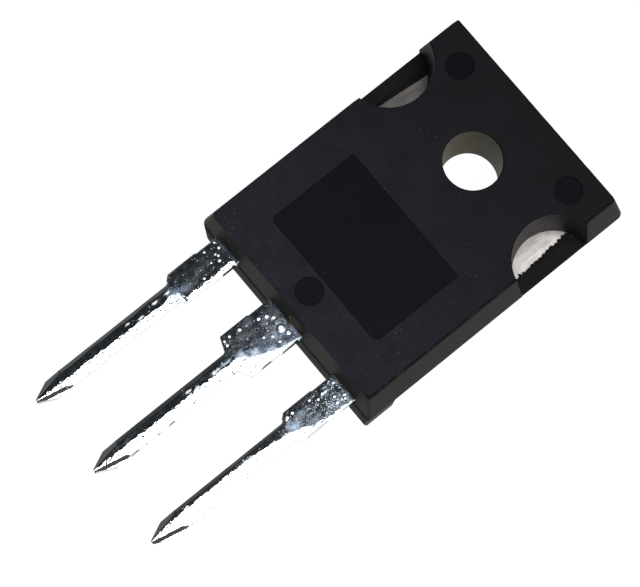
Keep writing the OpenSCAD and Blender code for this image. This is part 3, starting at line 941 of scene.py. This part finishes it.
def header_plate():
    """Stamped plate: long edges rolled down by the die, cut upper corners, hole for the ring."""
    rings = []
    for step in range(81):
        x = PLATE_HALF_W * (step / 40 - 1)
        high = PLATE_TOP_Y - max(0, abs(x) - PLATE_HALF_W + PLATE_CHAMFER)
        top = PLATE_T - PLATE_ROLL * max(0, (abs(x) - PLATE_HALF_W) / PLATE_ROLL_W + 1) ** 2
        rings.append([(x, PLATE_LOW_Y, 0), (x, high, 0), (x, high, top), (x, PLATE_LOW_Y, top)])
    made = loft("header_plate", rings, [PLATE])
    boolean(made, [turned("ring_hole", (0, 0), [(RING_R, -1), (RING_R, PLATE_T + 1)], [PLATE])])
    return finished(made, ["drain_frame"])


def dress_inner_parts():
    """Finishes of the pieces that the moulding hides, which stay as the frame has them."""
    wire = drawn_metal("aluminium_bond_wire", "#d6d8da", "#b9bcc0", 0.3)
    finishes = {"chip_solder": drawn_metal("soft_solder", "#a4a7ac", "#83868c", 0.45),
                "silicon_chip": polished_silicon("silicon_polished")}
    for name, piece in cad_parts.items():
        if name.startswith("source_wire") or name == "gate_wire":
            finishes[name] = wire
        if name in finishes:
            piece.data.materials.clear()
            piece.data.materials.append(finishes[name])


moulded_case()
header_plate()
flash_and_shadow_skin("pad_flash_right", side=1, seed=2.0, reach=0.3, teeth=0.32)
# On the left the dark skin is painted shadow, where the wall shades the pad's upper end
flash_and_shadow_skin("pad_painted_shadow_left", side=-1, seed=5.0, reach=0.42, teeth=0.03)
dress_inner_parts()

# Where the coat of each lead starts to lean: places along the lead, and distances from its middle
GATE_LIT = ([END_Y, -15.0, -16.2, -18.3, -18.5, -19.0, -19.6, -27.0, TIP_Y],
            [0.82, 0.66, 0.74, 0.7, 0.25, 0.0, 0.14, 0.05, -0.02])
DRAIN_LIT = ([END_Y, -15.3, -15.9, -16.4, -17.1, -17.8, -18.3, -24.0, TIP_Y],
             [1.47, 1.35, 1.25, 1.05, 0.8, 0.42, 0.08, 0.05, -0.02])
SOURCE_LIT = ([END_Y, -16.1, -17.3, -18.0, -18.5, -19.0, -20.0, -22.0, -27.0, TIP_Y],
              [0.96, 0.9, 0.7, 0.38, 0.22, 0.08, -0.05, -0.2, -0.23, -0.05])
# Larger drops of tin: distance right of the lead's middle, place along it, radius
GATE_DROPS = [(-0.88, -14.88, 0.07), (-0.47, -14.87, 0.09), (-0.26, -15.3, 0.06),
              (-0.1, -15.2, 0.07), (0.18, -15.35, 0.09), (-0.01, -15.82, 0.06),
              (0.47, -16.75, 0.08), (-0.78, -15.73, 0.06)]
DRAIN_DROPS = [(-0.82, -15.35, 0.1), (-1.01, -15.82, 0.09), (-0.51, -15.07, 0.09),
               (-1.22, -17.12, 0.09), (-1.28, -17.84, 0.08), (-1.23, -18.26, 0.08),
               (-0.93, -18.28, 0.08), (0.31, -15.13, 0.19), (0.77, -14.96, 0.12),
               (0.35, -15.85, 0.08), (0.08, -16.28, 0.07), (0.87, -15.7, 0.08)]
SOURCE_DROPS = [(-0.73, -18.29, 0.09), (-0.76, -17.89, 0.08), (-0.7, -16.62, 0.07),
                (-0.41, -16.17, 0.07), (-0.53, -15.76, 0.09), (-0.52, -15.54, 0.08),
                (-0.63, -14.82, 0.08), (0.34, -14.78, 0.08), (0.54, -14.87, 0.07),
                (0.45, -15.41, 0.08), (0.06, -15.32, 0.07)]
# Patches of slight dullness also come out painted bluish grey: a painted reflection
# Soft dull patches: distance right of the middle, place along it, half width, half length, dullness
GATE_PATCHES = [(-0.2, -15.9, 0.25, 0.7, 0.12), (0, -16.9, 0.3, 0.8, 0.2),
                (0.25, -17.9, 0.3, 0.6, 0.42), (0.2, -18.8, 0.45, 0.45, 0.55),
                (-0.22, -19.07, 0.08, 0.2, 0.9), (-0.22, -19.97, 0.08, 0.22, 1),
                (-0.03, -21.19, 0.09, 0.24, 1), (-0.22, -22.06, 0.07, 0.2, 0.9)]
DRAIN_PATCHES = [(0.3, -15.05, 0.7, 0.3, 0.45), (0.45, -15.7, 0.45, 0.35, 0.5),
                 (1.2, -15.7, 0.3, 0.5, 0.45), (0.95, -16.4, 0.35, 0.5, 0.6),
                 (0.55, -17.3, 0.4, 0.5, 0.7), (0.1, -18.0, 0.4, 0.4, 0.7),
                 (0, -21.3, 0.09, 0.2, 1), (-0.19, -21.87, 0.08, 0.2, 1),
                 (-0.1, -19.67, 0.09, 0.25, 0.8), (-0.1, -19.0, 0.1, 0.3, 0.6)]
SOURCE_PATCHES = [(0.5, -17.3, 0.4, 0.7, 0.3), (0, -18.3, 0.35, 0.5, 0.5),
                  (-0.17, -21.95, 0.08, 0.3, 0.9), (-0.3, -17.6, 0.3, 0.6, 0.3)]
# Stretches of the right edges with a burr along the foot
GATE_BURRS = [(END_Y, -15.75), (-28.0, TIP_Y)]
DRAIN_BURRS = [(END_Y, -16.0), (-16.75, -17.55), (-18.25, -18.5), (-18.6, -18.75),
               (-18.9, -19.1), (-23.5, -24.0), (-24.65, -24.85), (-25.6, -25.75),
               (-26.2, -26.9), (-27.9, TIP_Y)]
SOURCE_BURRS = [(-15.0, -15.5), (-16.5, -18.2), (-25.7, -25.85), (-26.2, -26.35), (-26.5, -26.75)]

lead("gate_lead_tinned", -LEAD_PITCH, OUTER_NECK_HALF, GATE_LIT, bevel=(0.22, 21),
     drops=GATE_DROPS, specks=70, dull=0.1, patches=GATE_PATCHES, burrs=GATE_BURRS,
     seed=3, replaced=["gate_lead"])
lead("drain_lead_tinned", 0, CENTRE_NECK_HALF, DRAIN_LIT, bevel=(0.26, 12),
     drops=DRAIN_DROPS, specks=190, dull=0.42, patches=DRAIN_PATCHES, burrs=DRAIN_BURRS,
     seed=5, replaced=["drain_frame"])
lead("source_lead_tinned", LEAD_PITCH, OUTER_NECK_HALF, SOURCE_LIT, bevel=(0.2, 16),
     drops=SOURCE_DROPS, specks=480, dull=0.18, patches=SOURCE_PATCHES, burrs=SOURCE_BURRS,
     seed=8, replaced=["source_lead"])


# Studio: places in metres. The floor lies a hair below the part, so that they share no plane.
FLOOR_Z = -0.00002
FLOOR_GREY = 0.9
FLOOR_GLOW = 0.97
LENS = 175.98


def emission_floor():
    """White studio sweep: lit plainly, and shown white to the camera and in reflections.

    It is clear from below, so that the part's back can be looked at.
    """
    made = bpy.data.materials.new("white_sweep")
    made.use_nodes = True
    tree = made.node_tree
    tree.nodes.remove(tree.nodes["Principled BSDF"])
    rays = node(tree, "ShaderNodeLightPath")
    seen = node(tree, "ShaderNodeMath",
                {0: rays.outputs["Is Camera Ray"], 1: rays.outputs["Is Glossy Ray"]},
                operation="MAXIMUM")
    shown = node(tree, "ShaderNodeMath",
                 {0: seen.outputs[0], 1: rays.outputs["Is Transmission Ray"]}, operation="MAXIMUM")
    plain = node(tree, "ShaderNodeBsdfDiffuse", {"Color": (FLOOR_GREY, FLOOR_GREY, FLOOR_GREY, 1)})
    soft = node(tree, "ShaderNodeBsdfDiffuse", {"Color": (0.1, 0.1, 0.1, 1)})
    glow = node(tree, "ShaderNodeEmission", {"Color": (1, 1, 1, 1), "Strength": FLOOR_GLOW})
    white = node(tree, "ShaderNodeAddShader", {0: soft.outputs[0], 1: glow.outputs[0]})
    mix = node(tree, "ShaderNodeMixShader",
               {0: shown.outputs[0], 1: plain.outputs[0], 2: white.outputs[0]})
    below = node(tree, "ShaderNodeNewGeometry").outputs["Backfacing"]
    clear = node(tree, "ShaderNodeBsdfTransparent")
    sided = node(tree, "ShaderNodeMixShader", {0: below, 1: mix.outputs[0], 2: clear.outputs[0]})
    tree.links.new(sided.outputs[0], tree.nodes["Material Output"].inputs["Surface"])
    return made


def studio_floor():
    """Flat floor whose far rim curves up, so that a low view still ends in white."""
    steps = 96
    profile = [(0.2, FLOOR_Z), (1.2, FLOOR_Z), (1.35, 0.03), (1.48, 0.1), (1.55, 0.25)]
    vertices = [(0, 0, FLOOR_Z)]
    faces = []
    turns = [2 * math.pi * i / steps for i in range(steps)]
    for r, z in profile:
        vertices += [(r * math.cos(a), r * math.sin(a), z) for a in turns]
    for i in range(steps):
        faces.append((0, 1 + i, 1 + (i + 1) % steps))
        for level in range(len(profile) - 1):
            low, high = 1 + level * steps, 1 + (level + 1) * steps
            j = (i + 1) % steps
            faces.append((low + i, high + i, high + j, low + j))
    made = mesh_object("studio_floor", vertices, faces, [emission_floor()])
    made.data.polygons.foreach_set("use_smooth", [True] * len(made.data.polygons))


def overhead_softbox(low, high, height, watts):
    """Level softbox over the bench between two corners, in metres."""
    data = bpy.data.lights.new("overhead_softbox", "AREA")
    data.shape = "RECTANGLE"
    data.size, data.size_y = high[0] - low[0], high[1] - low[1]
    data.energy = watts
    made = bpy.data.objects.new("overhead_softbox", data)
    bpy.context.scene.collection.objects.link(made)
    made.location = ((low[0] + high[0]) / 2, (low[1] + high[1]) / 2, height)


def dim_room():
    """World: a dark bluish ceiling, grey walls on the left and darker ones on the right."""
    world = bpy.data.worlds.new("dim_room")
    bpy.context.scene.world = world
    world.use_nodes = True
    tree = world.node_tree
    way = node(tree, "ShaderNodeTexCoord").outputs["Generated"]
    axes = node(tree, "ShaderNodeSeparateXYZ", {0: way})
    across = node(tree, "ShaderNodeMapRange",
                  {"Value": axes.outputs["X"], "From Min": -0.5, "From Max": 0.2})
    rise = node(tree, "ShaderNodeMapRange",
                {"Value": axes.outputs["Z"], "From Min": 0.7, "From Max": 0.92})
    walls = node(tree, "ShaderNodeMix",
                 {0: across.outputs[0], 6: (0.11, 0.11, 0.105, 1), 7: (0.075, 0.075, 0.075, 1)},
                 data_type="RGBA")
    colour = node(tree, "ShaderNodeMix",
                  {0: rise.outputs[0], 6: walls.outputs[2], 7: (0.012, 0.017, 0.02, 1)},
                  data_type="RGBA")
    tree.links.new(colour.outputs[2], tree.nodes["Background"].inputs["Color"])


def camera():
    """Camera at the photograph's place, above the part, with the leads towards the lower left."""
    data = bpy.data.cameras.new("camera")
    data.sensor_width = 36
    data.lens = LENS
    data.clip_start = 0.01
    made = bpy.data.objects.new("camera", data)
    bpy.context.scene.collection.objects.link(made)
    forward = Vector((-0.16895, 0.15548, -0.97328)).normalized()
    up = Vector((-0.75251, 0.61739, 0.22925))
    right = forward.cross(up).normalized()
    up = right.cross(forward)
    turn = Matrix((right, up, -forward)).transposed().to_4x4()
    made.matrix_world = Matrix.Translation(Vector((31.84, -41.13, 185.52)) * MM) @ turn
    bpy.context.scene.camera = made


studio_floor()
overhead_softbox((-0.02, -0.2), (0.5, 0.28), height=0.6, watts=4.0)
dim_room()
camera()

bpy.context.scene.view_settings.view_transform = "Standard"
